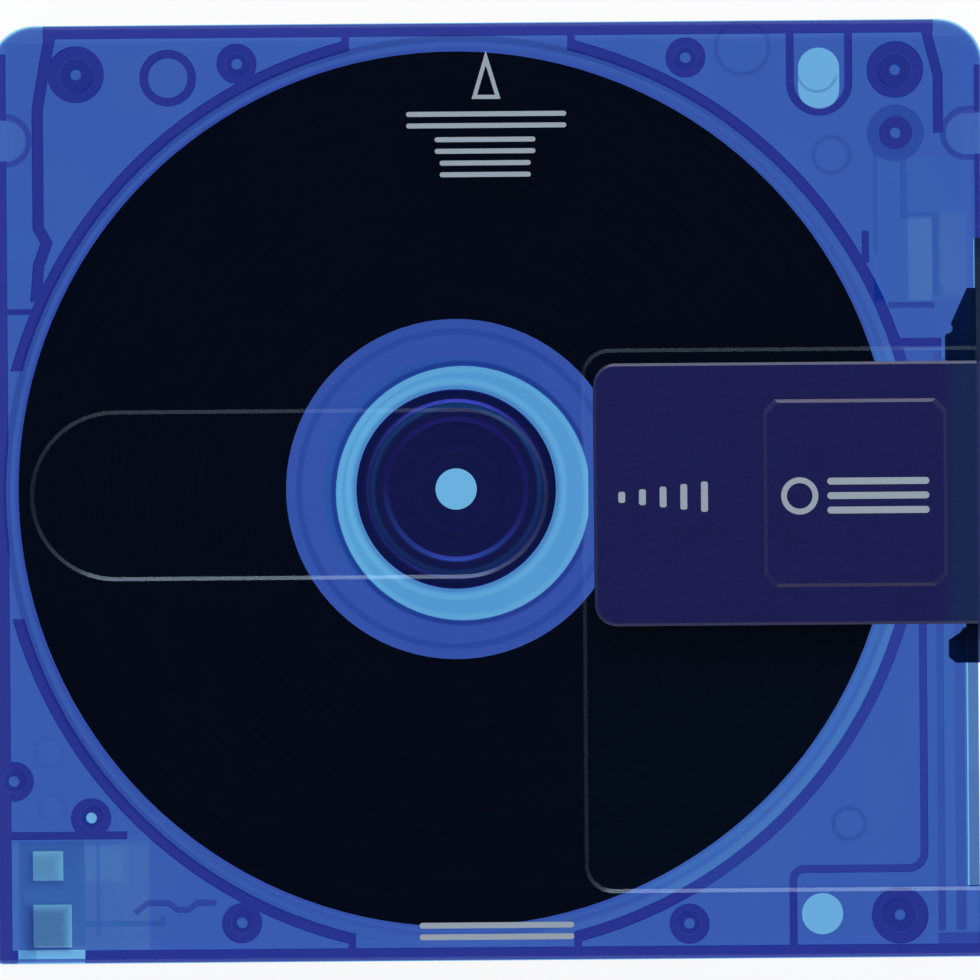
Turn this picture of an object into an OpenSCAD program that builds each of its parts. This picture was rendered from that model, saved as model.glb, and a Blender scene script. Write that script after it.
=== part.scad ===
// Recordable data disc, sealed in a see-through cartridge with a sliding shutter.
// The cartridge lies flat with its label side up. The origin is the middle of its underside,
// +X points to the shutter edge, +Y is the way it goes into a player, and +Z is up.

/* [Cartridge] */
// Width, from the plain edge to the shutter edge
cart_w = 72; // [72:0.5:76]
// Length, from the rear edge to the front edge
cart_l = 68; // [68:0.5:72]
// Thickness over both shells
cart_t = 5; // [5:0.1:6]
// Radius of the two front corners
front_r = 3.3; // [2.5:0.1:4]
// Radius of the two rear corners
rear_r = 0.5; // [0.4:0.1:2]
// Chamfer round the upper and lower faces
edge_c = 0.3; // [0.1:0.05:0.35]
// Thickness of the plate of each shell
plate_t = 0.9; // [0.8:0.05:1]
// Thickness of the front and rear walls
end_wall = 0.9; // [0.7:0.05:1]
// Thickness of the wall along the plain edge
plain_wall = 1.1; // [0.9:0.05:1.3]
// Thickness of the wall along the shutter edge
slot_wall = 0.6; // [0.5:0.05:0.7]
// Thickness of the inner ribs
rib_w = 0.55; // [0.4:0.05:0.7]

/* [Disc] */
// Diameter of the disc
disc_d = 64; // [60:0.5:64]
// Thickness of the disc
disc_t = 1.2; // [1:0.1:1.4]
// Room round the disc in its chamber
chamber_gap = 1; // [0.8:0.05:1]
// Thickness of the round wall of the chamber
chamber_wall = 0.8; // [0.6:0.05:0.9]
// How far the loose disc lies from the middle of the chamber, along X and along Y
disc_shift = [-0.3, 0.2];
// Outer radius of the black recording layer, short of the rim of the disc
layer_inset = 0.22; // [0.1:0.02:0.5]
// Inner radius of the black recording layer
layer_r = 12.35; // [11.9:0.05:14]
// Thickness of the black recording layer
layer_t = 0.1; // [0.08:0.01:0.15]
// Diameter of the centre hole of the disc
disc_hole_d = 11; // [10.5:0.1:11.5]

/* [Clamping plate] */
// Diameter of the steel plate in the middle of the disc
clamp_d = 14.5; // [14:0.1:15]
// Thickness of its sheet
clamp_t = 0.4; // [0.3:0.05:0.5]
// Depth of its pressed middle below its rim
clamp_dish = 0.35; // [0.2:0.05:0.45]
// Diameter of its centring hole
clamp_hole_d = 3; // [2.6:0.1:4]
// Radius where its rim steps down towards the disc
clamp_step_r = 6.3; // [6:0.05:6.6]

/* [Spindle opening] */
// Radius of the opening in the lower shell
spindle_r = 9.25; // [9:0.05:9.5]
// Width of the raised collar that the disc lies on
collar_w = 0.45; // [0.35:0.05:0.7]
// Height of the collar above the floor
collar_h = 0.4; // [0.3:0.05:0.5]

/* [Shutter] */
// Length of the shutter's leaves, in from the shutter edge
shutter_reach = 28.4; // [27.5:0.1:28.6]
// Width of the shutter along Y
shutter_w = 19.05; // [18.5:0.05:19.3]
// Middle of the closed shutter, behind the middle of the cartridge
shutter_back = 0.325; // [0.2:0.025:0.4]
// Thickness of the shutter's sheet
sheet_t = 0.25; // [0.2:0.01:0.3]
// How far the shutter slides
travel = 19; // [18:0.1:19]
// Depth of the recess that the shutter runs in, on each face
recess_d = 0.45; // [0.4:0.01:0.5]
// Height of the pressed pad on the upper leaf
pad_h = 0.12; // [0.05:0.01:0.14]
// Width of the bevel round the recess, which is half as deep
recess_bevel = 0.3; // [0.1:0.05:0.4]
// Width of the rolled-over edge of the leaves, which is half as deep
leaf_edge = 0.2; // [0.1:0.02:0.24]

/* [Head window] */
// Length of the window in each shell along X
window_l = 20; // [18:0.1:20.2]
// Width of the window in each shell along Y
window_w = 17.2; // [16:0.1:17.4]

/* [Label recess] */
// Radius of the round ends of the shallow label recess
label_r = 6.2; // [5:0.1:7]
// Distance between the centres of its round ends
label_l = 25.2; // [20:0.1:26]
// Depth of the label recess
label_d = 0.15; // [0.1:0.05:0.35]
// Width of its bevelled edge
label_bevel = 0.3; // [0.1:0.05:0.4]

/* [Location holes] */
// Radius of the round location hole, and half the width of the oblong one
locate_r = 1.5; // [1.3:0.05:1.6]
// Length of the oblong location hole
oblong_l = 4.5; // [4:0.1:4.6]

/* [Write-protect tab] */
// How far the tab slides
tab_travel = 3.2; // [2.8:0.05:3.2]
// Thickness of the tab's plate
tab_t = 0.45; // [0.35:0.05:0.6]

/* [Lock lever] */
// Radius of the post that the lever turns on
lock_post_r = 1.2; // [1:0.05:1.3]
// Radius of the lever's eye
lock_eye_r = 2.05; // [1.9:0.05:2.1]

/* [Fits] */
// Room under a piece that slides or spins on a flat face
rest_gap = 0.1; // [0.05:0.01:0.15]
// Room between a flat sliding piece and its guide
slide_gap = 0.05; // [0.03:0.01:0.08]
// Radial room of a pin in its socket
pin_gap = 0.05; // [0.02:0.01:0.08]
// Width of the parting line between the two shells
seam = 0.02; // [0.01:0.01:0.05]

/* [Hidden] */
$fn = 96;
far = 100;
cut = 0.01;

half_w = cart_w / 2;
half_l = cart_l / 2;
split_z = cart_t / 2;
half_t = split_z - seam / 2;
disc_r = disc_d / 2;
chamber_r = disc_r + chamber_gap;
// The chamber touches the plain edge, and is in the middle of the length
chamber_c = [-half_w + end_wall + chamber_r, 0];
disc_c = chamber_c + disc_shift;
// The stretch of the round wall that the plain wall stands in for, and the ties between which the
// front and rear walls do
ring_break = 9;
tie_x = [-8.1, 8.3];
spindle_c = chamber_c + [0.2, -0.1];
disc_z = plate_t + collar_h + rest_gap;
clamp_r = clamp_d / 2;
clamp_seat_r = clamp_r + pin_gap;

shutter_x = half_w - shutter_reach;
shutter_front = shutter_w / 2 - shutter_back;
shutter_rear = -shutter_w / 2 - shutter_back;
leaf_z = recess_d - slide_gap - sheet_t;
bend_r = 0.6;
leaf_corner_r = 1.6;
// Recess of the shells: a margin in front of and inside the shutter, and its whole path behind it
recess_x = shutter_x - 0.6;
recess_front = shutter_front + 0.8;
recess_rear = shutter_rear - travel - slide_gap;
recess_corner_r = 1.8;
window_x = shutter_x + 1.9;
// The spindle opening ends at a flat just inside the recess, clear of a full round spindle
spindle_flat = recess_x + 0.2;
window_y = -shutter_back;
// Side face of the upper and of the lower shell behind the slider, and where that step begins and ends
side_x = half_w - 0.65;
low_side_x = half_w - 1.4;
side_front = recess_front + 8.1;
side_rear = recess_rear;
// Guide channel for the slider, inside the shutter edge
channel_x = half_w - 3.1;
slider_rear = shutter_rear - 2.85;
channel_rear = slider_rear - travel - 0.4;
rail_x = [half_w - 2.3, half_w - 1.6];
rail_h = 0.6;
// Low lips that narrow the mouth of the channel behind the closed slider
lip_h = 0.3;
// Heights of the slider's faces and of its bar, clear of the lips and the rail
face_z = plate_t + lip_h + rest_gap;
bar_z = plate_t + rail_h + rest_gap;
lip_front = -half_l + 13.5;
low_rib = 0.8;
guard_h = 0.25;
keel_x = half_w - 4.6;
keel_rear = -half_l + 6.4;

// Side channels at the two front corners, and the ribs that close them inwards
plain_rib = [[-half_w + 4.4, half_l - 0.5], [-half_w + 4, half_l - 2.5], [-half_w + 3.4, half_l - 6],
    [-half_w + 3.4, half_l - 14.6], [-half_w + 4, half_l - 15.7], [-half_w + 3.4, half_l - 17.4],
    [-half_w + 3.2, half_l - 20]];
slot_rib = [[half_w - 4.1, half_l - 0.5], [half_w - 3.2, half_l - 4], [half_w - 3.2, half_l - 8.2]];
// Half-round grip notches in the two side edges
notch_y = half_l - 8.25;
notch_r = 1.5;
notch_wall = 0.45;
notch_z = 1.6;
notch_c = [[-half_w + 1, notch_y], [half_w - 1.1, notch_y]];

// Welded bosses: centre, outer radius, pin radius
big_boss = [2.05, 1.2];
small_boss = [1.45, 0.8];
bosses = [
    [[-half_w + 6.2, half_l - 3.5], big_boss],
    [[-half_w + 17.9, half_l - 2.8], small_boss],
    [[half_w - 21.5, half_l - 2.6], small_boss],
    [[half_w - 6.3, half_l - 3.6], big_boss],
    [[-half_w + 1.3, -half_l + 13.2], small_boss],
    [[-half_w + 6.9, -half_l + 10.5], small_boss],
    [[-half_w + 17.8, -half_l + 2.8], small_boss],
    [[half_w - 21.7, -half_l + 2.5], small_boss],
    [[half_w - 6.4, -half_l + 3], big_boss]];
// The boss beside the write-protect tab is open through the floor
open_boss = 5;
core_r = 0.4;
// An empty round boss, a plain ring
ring_boss_c = [-half_w + 12.9, half_l - 3.8];
ring_boss = [2.05, 1.45];
// Height of the plate's inner face behind the recess
step_z = plate_t + recess_d;
// Marks of the mould's ejector pins: centre, radius and height of the plate's inner face there
ejector_marks = [[half_w - 11, half_l - 9.8, 1.15, plate_t],
    [half_w - 10.1, recess_rear + 4.6, 1, step_z],
    [-half_w + 3.9, -half_l + 15.3, 0.9, plate_t], [-half_w + 4.1, -half_l + 11.3, 0.8, plate_t]];
ejector_d = 0.12;
mark_rim = 0.3;
// The mark of the mould's gate, open towards the front wall
gate_c = [half_w - 17.4, half_l - 2];
gate_r = 1.75;

round_hole_c = [half_w - 12, -half_l + 3.1];
oblong_hole_c = [half_w - 11.8, half_l - 4.15];
cup_r = locate_r + 0.62;
cup_y = oblong_hole_c[1] - 0.35;
fence_x = round_hole_c[0] - 2.15;
fence_bend_r = 0.8;
keel_bend_r = 1.2;

// Write-protect corner
guard_y = -half_l + 9.25;
tab_x = -half_w + 1.6;
tab_front = guard_y - 0.45;
tab_rear = -half_l + 1.2;
tab_bed = 0.15;
tab_z = plate_t - tab_bed + slide_gap;
nub_w = 1.2;
slot_x = tab_x - 0.1;
slot_l = nub_w + tab_travel + 0.5;
slot_y = [-half_l + 0.25, -half_l + end_wall];
sense_x = tab_x + 1;
sense_w = tab_travel - 1;
step_x = tab_x + 4.75;
sense_c = [step_x + 0.1, step_x + 2.7];
arm_y = -half_l + 2.8;
arm_end = step_x + 5.7;
catch_y = -half_l + 4.3;
catch_drop = 0.5;
catch_w = 0.4;

lock_c = [half_w - 6.3, half_l - 8.2];
lock_seat_h = 0.65;
lock_z = plate_t + lock_seat_h + slide_gap;
lock_t = 1.8;
finger_x = half_w - 3.4;
finger_y = [recess_front + 9.4, recess_front + 4];
tail_x = lock_c[0] - 1.5;
tail_end = finger_y[1] + 3.1;

// A straight wall from a to b, seen from above
module bar(a, b, w) {
    d = b - a;
    translate(a) rotate(atan2(d[1], d[0])) translate([0, -w / 2]) square([norm(d), w]);
}

function unit(v) = v / norm(v);

// The point beside point i of a run, at a distance d to its left, on the mitre of the two stretches
function beside(p, i, d) =
    let (j = max(i, 1), k = min(i + 1, len(p) - 1), a = unit(p[j] - p[j - 1]), b = unit(p[k] - p[k - 1]),
        m = unit(a + b))
    p[i] + d / (a * m) * [-m[1], m[0]];

// A wall of even thickness along a run of points
module run(points, w) {
    last = len(points) - 1;
    left = [for (i = [0 : last]) beside(points, i, w / 2)];
    right = [for (i = [last : -1 : 0]) beside(points, i, -w / 2)];
    polygon(concat(left, right));
}

// A quarter of a ring about a centre, in the quadrant that the two signs give
module bend(c, r, w, sx, sy) {
    translate(c) intersection() {
        difference() {
            circle(r + w / 2, $fn = 48);
            circle(r - w / 2, $fn = 48);
        }
        translate([sx > 0 ? 0 : -far, sy > 0 ? 0 : -far]) square(far);
    }
}

// A rectangle between two corners
module box2(a, b) {
    translate(a) square(b - a);
}

// Everything on the outer faces that is the same on both shells is built on the lower one
// and turned over for the upper one
module turn_over() {
    translate([0, 0, cart_t]) mirror([0, 0, 1]) children();
}

// Outline of the cartridge from above
module plan() {
    box2([-half_w + front_r, -half_l], [half_w - front_r, half_l]);
    box2([-half_w, -half_l + rear_r], [half_w, half_l - front_r]);
    for (s = [-1, 1]) {
        translate([s * (half_w - front_r), half_l - front_r]) circle(front_r);
        translate([s * (half_w - rear_r), -half_l + rear_r]) circle(rear_r, $fn = 32);
        box2([s * (half_w - (front_r + rear_r) / 2) - (front_r - rear_r) / 2, -half_l],
            [s * (half_w - (front_r + rear_r) / 2) + (front_r - rear_r) / 2, -half_l + front_r]);
    }
}

// Cuts a chamfer, w wide and d high, on an edge at [0, 0], with the body on the left and above
module chamfer_cut(w, d) {
    polygon([[-w, 0], [-w, -cut], [cut, -cut], [cut, d], [0, d]]);
}

// A chamfer along a straight edge, then round a corner
module chamfer_bar(l, w, d) {
    rotate([90, 0, 90]) linear_extrude(l) chamfer_cut(w, d);
}

module chamfer_corner(r, w, d) {
    rotate_extrude(angle = 90) translate([r, 0]) chamfer_cut(w, d);
}

// Half of the cartridge as a solid block, chamfered round its outer face
module half_block() {
    c = edge_c;
    x = [-half_w + front_r, half_w - front_r, -half_w + rear_r, half_w - rear_r];
    y = [half_l - front_r, -half_l + rear_r];
    difference() {
        linear_extrude(half_t) plan();
        translate([x[0], half_l, 0]) chamfer_bar(x[1] - x[0], c, c);
        translate([x[3], -half_l, 0]) rotate(180) chamfer_bar(x[3] - x[2], c, c);
        translate([half_w, y[0], 0]) rotate(-90) chamfer_bar(y[0] - y[1], c, c);
        translate([-half_w, y[1], 0]) rotate(90) chamfer_bar(y[0] - y[1], c, c);
        translate([x[1], y[0], 0]) chamfer_corner(front_r, c, c);
        translate([x[0], y[0], 0]) rotate(90) chamfer_corner(front_r, c, c);
        translate([x[2], y[1], 0]) rotate(180) chamfer_corner(rear_r, c, c);
        translate([x[3], y[1], 0]) rotate(270) chamfer_corner(rear_r, c, c);
    }
}

// Walls round the edge, open at the front corners and along the slider's slot
module rim_walls() {
    box2([plain_rib[0][0] - rib_w, half_l - end_wall], [slot_rib[0][0] + rib_w, half_l]);
    box2([-half_w, -half_l], [half_w, -half_l + end_wall]);
    box2([-half_w, -half_l], [-half_w + plain_wall, half_l - 2]);
    box2([half_w - slot_wall, side_front], [half_w, half_l - front_r]);
    box2([side_x, -half_l], [half_w, side_rear]);
}

// Round wall of the disc chamber, and its ties to the front and rear walls
module chamber_walls() {
    translate(chamber_c) difference() {
        circle(chamber_r + chamber_wall);
        translate([-far, -ring_break]) square([far, 2 * ring_break]);
        box2([tie_x[0], -far], [tie_x[1], far]);
    }
    for (s = [-1, 1], dx = tie_x)
        bar(chamber_c + [dx, s * (chamber_r - 2)], [chamber_c[0] + dx, s * (half_l - cut)], rib_w);
}

// Cup round the oblong location hole
module cup_walls() {
    for (s = [-1, 1])
        bar([oblong_hole_c[0] + s * cup_r, cup_y], [oblong_hole_c[0] + s * cup_r, half_l - cut], rib_w);
    for (s = [-1, 1]) bend([oblong_hole_c[0], cup_y], cup_r, rib_w, s, -1);
}

// Fence past the round location hole, that turns into the keel beside the slider's channel
module fence_walls() {
    y = keel_rear;
    bar([fence_x, -half_l + cut], [fence_x, y - fence_bend_r], rib_w);
    bend([fence_x + fence_bend_r, y - fence_bend_r], fence_bend_r, rib_w, -1, 1);
    bar([fence_x + fence_bend_r, y], [keel_x - keel_bend_r, y], rib_w);
    bend([keel_x - keel_bend_r, y + keel_bend_r], keel_bend_r, rib_w, 1, -1);
    bar([keel_x, y + keel_bend_r], [keel_x, shutter_front - 0.3], rib_w);
    bar([keel_x - 1.6, recess_front + 0.55], [channel_x, recess_front + 0.55], 0.7);
}

// Ribs that stand as high as the walls
module ribs() {
    run(plain_rib, 0.8);
    run(slot_rib, 0.7);
    bar([-half_w + 1, half_l - 20.7], [-half_w + 3, half_l - 20.7], 0.4);
    bar([-half_w + 1, guard_y], [-half_w + 9.5, guard_y], rib_w);
    bar([tail_x - 0.75, tail_end + 1.6], [tail_x - 0.75, tail_end - 0.7], 0.5);
    translate(ring_boss_c) difference() {
        circle(ring_boss[0]);
        circle(ring_boss[1]);
    }
    cup_walls();
    fence_walls();
}

module walls() {
    difference() {
        union() {
            rim_walls();
            chamber_walls();
            ribs();
        }
        translate(chamber_c) circle(chamber_r);
        translate(ring_boss_c) circle(ring_boss[1]);
    }
}

// Raised rims round the ejector marks, and round the U-shaped gate mark at the front
module mark_rims() {
    for (m = ejector_marks) translate([m[0], m[1], m[3] - cut]) linear_extrude(ejector_d + cut)
        difference() {
            circle(m[2] + mark_rim, $fn = 48);
            circle(m[2], $fn = 48);
        }
    translate([0, 0, plate_t - cut]) linear_extrude(ejector_d + cut) difference() {
        gate_plan(mark_rim, cut);
        gate_plan(0, 2 * cut);
    }
}

// The gate mark, which ends a given distance past the inner face of the front wall
module gate_plan(grow, past) {
    r = gate_r + grow;
    intersection() {
        translate(gate_c) union() {
            circle(r, $fn = 48);
            translate([-r, 0]) square([2 * r, r]);
        }
        box2([-far, -far], [far, half_l - end_wall + past]);
    }
}

// Low ribs on each plate: the inner side of the slider's channel, its rail, its lips and its end
module low_ribs() {
    translate([0, 0, plate_t - cut]) {
        linear_extrude(low_rib + cut) {
            box2([channel_x - 0.5, channel_rear], [channel_x, recess_front]);
            bar([keel_x - 2.3, finger_y[1] - 0.7], [keel_x + 1, finger_y[1] - 0.7], 0.4);
            box2([channel_x - 0.5, -half_l + 0.5], [side_x + cut, channel_rear - 0.2]);
        }
        linear_extrude(rail_h + cut) box2([rail_x[0], channel_rear], [rail_x[1], recess_front - 0.5]);
        linear_extrude(lip_h + cut) {
            box2([channel_x - cut, channel_rear], [rail_x[0] + cut, recess_front - 0.5]);
            box2([low_side_x, channel_rear], [side_x, lip_front]);
        }
    }
}

// Recess on the outer face that the shutter's leaf slides in, with a bevelled edge
module shutter_recess() {
    r = recess_corner_r;
    w = recess_bevel;
    d = w / 2;
    front = recess_front - r;
    rear = recess_rear + r;
    translate([0, 0, -cut]) linear_extrude(recess_d + cut) {
        box2([recess_x + r, recess_rear], [far, recess_front]);
        box2([recess_x, rear], [far, front]);
        for (y = [rear, front]) translate([recess_x + r, y]) circle(r, $fn = 48);
    }
    for (y = [rear, front]) translate([recess_x + r, y, -cut]) cylinder(r1 = r + w, r2 = r, h = d + cut);
    translate([recess_x + r, 0, 0]) rotate([90, 0, 90]) linear_extrude(far)
        polygon([[recess_rear - w, -cut], [recess_front + w, -cut], [recess_front, d], [recess_rear, d]]);
    translate([0, front, 0]) rotate([90, 0, 0]) linear_extrude(front - rear)
        polygon([[recess_x - w, -cut], [recess_x + r, -cut], [recess_x + r, d], [recess_x, d]]);
}

// Step in the shutter edge that leaves room for the slider and the shutter's bend, and a slot in
// the edge behind it that the rear end of the slider runs into
module side_step() {
    translate([0, 0, -cut]) linear_extrude(split_z + 2 * cut)
        box2([side_x, side_rear], [far, side_front]);
    translate([0, 0, face_z - rest_gap]) linear_extrude(split_z)
        box2([side_x - cut, slider_rear - travel - 0.2], [far, side_rear + cut]);
}

// Behind the recess the floor of the channel has no lips, and is a little deeper
module channel_pocket() {
    translate([0, 0, plate_t - 0.1]) linear_extrude(split_z) {
        box2([channel_x, channel_rear], [rail_x[0], side_rear - 0.1]);
        box2([rail_x[1], channel_rear], [side_x, side_rear - 0.1]);
    }
}

// Window for the head, behind the closed shutter
module head_window() {
    r = 1;
    translate([window_x, window_y, -cut]) linear_extrude(plate_t + 2 * cut) {
        box2([r, -window_w / 2], [window_l - r, window_w / 2]);
        box2([0, -window_w / 2 + r], [window_l, window_w / 2 - r]);
        for (x = [r, window_l - r], s = [-1, 1]) translate([x, s * (window_w / 2 - r)]) circle(r, $fn = 48);
    }
}

// Low ring on each plate, sloping outwards, that keeps a leaning disc off the wall
module guard_ring() {
    crest_r = chamber_r - 0.8;
    h = guard_h + cut;
    translate([chamber_c[0], chamber_c[1], plate_t - cut]) rotate_extrude()
        polygon([[crest_r - 0.1, 0], [crest_r + 0.4, 0], [crest_r, h], [crest_r - 0.1, h]]);
}

// The plate steps inwards behind the shutter's recess, so it stays as thick outside the chamber
module recess_floor() {
    linear_extrude(step_z) difference() {
        box2([recess_x, recess_rear], [channel_x - 0.5 + cut, recess_front]);
        translate(chamber_c) circle(chamber_r);
    }
}

// Half of the cartridge with all that both shells share
module shell_half() {
    difference() {
        intersection() {
            half_block();
            union() {
                linear_extrude(plate_t) square([2 * far, 2 * far], center = true);
                linear_extrude(split_z) walls();
                recess_floor();
                low_ribs();
                guard_ring();
                mark_rims();
            }
        }
        shutter_recess();
        side_step();
        channel_pocket();
        head_window();
    }
}

// Slot in the rear edge through which the tab is pushed
module tab_slot(z0, z1) {
    translate([0, 0, z0]) linear_extrude(z1 - z0)
        box2([slot_x, -half_l - cut], [slot_x + slot_l, slot_y[1] + cut]);
}

// Half-round notch in a side edge: what stands round it, and what is cut out
module notch_plan(c, r) {
    translate(c) {
        circle(r, $fn = 48);
        translate([c[0] > 0 ? 0 : -far, -r]) square([far, 2 * r]);
    }
}

// Wavy rib with two rests for the tab's springy arm
module catch_rib() {
    x = arm_end;
    y = catch_y;
    low = y - catch_drop;
    run([[x - 2, low - 0.2], [x - 1.1, y], [x + 0.4, y], [x + 1.1, low], [x + 1.9, low], [x + 2.5, y],
        [x + 3.9, y]], catch_w);
}

// Collar round the spindle opening, and the land beside it that stiffens the web to the window
module collar() {
    h = plate_t + collar_h;
    translate([spindle_c[0], spindle_c[1], 0]) cylinder(r = spindle_r + collar_w, h = h);
    land_w = 2 * spindle_r - 2.1;
    linear_extrude(h) translate([recess_x, spindle_c[1] - land_w / 2])
        square([window_x - 0.4 - recess_x, land_w]);
}

module lower_shell() {
    color("#4a7fd0", 0.5) difference() {
        union() {
            difference() {
                shell_half();
                tab_slot(plate_t, split_z + cut);
                for (c = notch_c) translate([0, 0, notch_z]) linear_extrude(far) notch_plan(c, notch_r);
            }
            intersection() {
                half_block();
                union() {
                    for (c = notch_c) linear_extrude(notch_z + plate_t - cut)
                        notch_plan(c, notch_r + notch_wall);
                    for (b = bosses) translate(b[0]) cylinder(r = b[1][0], h = split_z);
                }
            }
            collar();
            translate(lock_c) cylinder(r = lock_eye_r, h = plate_t + lock_seat_h);
            translate(lock_c) cylinder(r = lock_post_r, h = half_t);
            linear_extrude(half_t) catch_rib();
        }
        translate([0, 0, -cut]) linear_extrude(far) intersection() {
            translate(spindle_c) circle(spindle_r);
            box2([-far, -far], [spindle_flat, far]);
        }
        shutter_recess();
        translate([0, 0, -cut]) linear_extrude(far) box2([low_side_x, side_rear], [far, shutter_front]);
        for (c = notch_c) translate([0, 0, -cut]) linear_extrude(notch_z + cut) notch_plan(c, notch_r);
        for (b = bosses) translate([b[0][0], b[0][1], plate_t]) cylinder(r = b[1][1] + pin_gap, h = far);
        translate([bosses[open_boss][0][0], bosses[open_boss][0][1], -cut])
            cylinder(r = core_r, h = far, $fn = 32);
        translate([lock_c[0], lock_c[1], plate_t]) cylinder(r = core_r, h = far, $fn = 32);
        translate([round_hole_c[0], round_hole_c[1], -cut]) cylinder(r = locate_r, h = far);
        translate([0, 0, -cut]) linear_extrude(far) {
            for (s = [-1, 1])
                translate(oblong_hole_c + [0, s * (oblong_l / 2 - locate_r)]) circle(locate_r, $fn = 64);
            box2(oblong_hole_c - [locate_r, oblong_l / 2 - locate_r],
                oblong_hole_c + [locate_r, oblong_l / 2 - locate_r]);
            box2([slot_x, slot_y[0]], [slot_x + slot_l, slot_y[1]]);
            box2([sense_x, guard_y - 3.3], [sense_x + sense_w, guard_y - 1.15]);
            box2([sense_x, tab_rear - 0.1], [sense_x + sense_w + 0.6, tab_rear + 3]);
        }
        for (m = ejector_marks) translate([m[0], m[1], m[3] - ejector_d])
            cylinder(r = m[2], h = ejector_d + cut, $fn = 48);
        translate([0, 0, plate_t - 0.4]) linear_extrude(0.4 + cut)
            box2([sense_c[0], guard_y - 3.4], [sense_c[1], guard_y - 0.7]);
        translate([0, 0, plate_t - tab_bed]) linear_extrude(tab_bed + cut)
            box2([-half_w + plain_wall, slot_y[1]], [step_x + tab_travel + 0.15, tab_front + 0.15]);
    }
}

// The shallow stadium-shaped recess, wider at its mouth
module label_recess() {
    translate([spindle_c[0] - label_l, spindle_c[1], 0]) {
        for (x = [0, label_l]) translate([x, 0, -cut])
            cylinder(r1 = label_r, r2 = label_r - label_bevel, h = label_d + cut);
        rotate([90, 0, 90]) linear_extrude(label_l)
            polygon([[-label_r, -cut], [label_r, -cut], [label_r - label_bevel, label_d],
                [-label_r + label_bevel, label_d]]);
    }
}

// Pockets in the inner face that give the lever room and mark the mould's core pins
module upper_pockets() {
    translate([0, 0, plate_t - 0.15]) linear_extrude(0.15 + cut)
        box2([tail_x - 0.2, finger_y[1] - 0.4], [side_x - 0.2, lock_c[1] - 1.8]);
    translate([0, 0, plate_t - 0.4]) linear_extrude(0.4 + cut)
        box2([keel_x - 0.9, finger_y[1] - 0.4], [keel_x + 0.8, finger_y[0] + 0.3]);
    translate([0, 0, plate_t - 0.25]) linear_extrude(0.25 + cut) difference() {
        box2([-half_w + plain_wall, slot_y[1]], [-half_w + 11.2, tab_front + 0.15]);
        box2([step_x + 0.9, tab_rear + 0.8], [step_x + 1.2, tab_front + 0.15]);
    }
    translate([0, 0, plate_t - ejector_d]) linear_extrude(ejector_d + cut) {
        gate_plan(0, -0.1);
        translate([-half_w + 2.2, half_l - 16]) circle(1.1, $fn = 48);
    }
}

module upper_shell() {
    color("#4a7fd0", 0.5) turn_over() difference() {
        union() {
            difference() {
                shell_half();
                tab_slot(plate_t, split_z + cut);
                for (c = notch_c) translate([0, 0, plate_t]) linear_extrude(far) notch_plan(c, notch_r);
            }
            intersection() {
                half_block();
                for (b = bosses) translate(b[0]) cylinder(r = b[1][0], h = split_z);
            }
            for (b = bosses) translate([b[0][0], b[0][1], plate_t])
                cylinder(r = b[1][1], h = cart_t - 2 * plate_t - rest_gap);
            translate(lock_c) cylinder(r = lock_post_r, h = half_t);
        }
        label_recess();
        shutter_recess();
        upper_pockets();
        for (c = [for (b = bosses) b[0], lock_c])
            translate([c[0], c[1], plate_t]) cylinder(r = core_r, h = far, $fn = 32);
    }
}

// Clear disc with a seat for the steel plate, and a shallow moulded groove round its hub
module disc_substrate() {
    groove_r = 11.2;
    groove_w = 0.4;
    groove_d = 0.12;
    soft = 0.15;
    color("#9fc4ef", 0.4) translate([disc_c[0], disc_c[1], disc_z]) rotate_extrude()
        polygon([[disc_hole_d / 2, 0], [groove_r, 0], [groove_r + groove_w / 2, groove_d],
            [groove_r + groove_w, 0], [disc_r - soft, 0], [disc_r, soft],
            [disc_r, disc_t - soft], [disc_r - soft, disc_t],
            [disc_r - layer_inset, disc_t], [disc_r - layer_inset, disc_t - layer_t],
            [layer_r, disc_t - layer_t], [layer_r, disc_t], [clamp_seat_r, disc_t],
            [clamp_seat_r, disc_t - clamp_t], [disc_hole_d / 2, disc_t - clamp_t]]);
}

module recording_layer() {
    color("#0a0b11") translate([disc_c[0], disc_c[1], disc_z + disc_t - layer_t]) rotate_extrude()
        translate([layer_r, 0]) square([disc_r - layer_inset - layer_r, layer_t]);
}

// Pressed steel plate: a flat rim on the disc, and a middle that sinks into its centre hole
module clamping_plate() {
    wall = 0.35;
    dish_r = disc_hole_d / 2 - 0.15;
    low = -clamp_dish;
    step = 0.1;
    color("#14164a") translate([disc_c[0], disc_c[1], disc_z + disc_t - clamp_t]) rotate_extrude()
        polygon([[clamp_hole_d / 2, low], [dish_r - wall, low], [dish_r, 0], [clamp_r, 0],
            [clamp_r, clamp_t - 2 * step], [clamp_r - step, clamp_t - step],
            [clamp_step_r + 2.5 * step, clamp_t - step], [clamp_step_r, clamp_t], [dish_r - 0.1, clamp_t],
            [dish_r - wall - 0.1, low + clamp_t], [clamp_hole_d / 2, low + clamp_t]]);
}

// One sheet bent round the shutter edge, seen along Y
module shutter_section() {
    x1 = half_w;
    z0 = leaf_z;
    z1 = cart_t - leaf_z;
    difference() {
        union() {
            box2([shutter_x, z0], [x1 - bend_r, z1]);
            box2([x1 - bend_r - cut, z0 + bend_r], [x1, z1 - bend_r]);
            for (z = [z0 + bend_r, z1 - bend_r]) translate([x1 - bend_r, z]) circle(bend_r, $fn = 64);
        }
        box2([-far, z0 + sheet_t], [x1 - bend_r, z1 - sheet_t]);
        box2([-far, z0 + bend_r], [x1 - sheet_t, z1 - bend_r]);
        for (z = [z0 + bend_r, z1 - bend_r]) translate([x1 - bend_r, z]) circle(bend_r - sheet_t, $fn = 64);
    }
}

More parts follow.
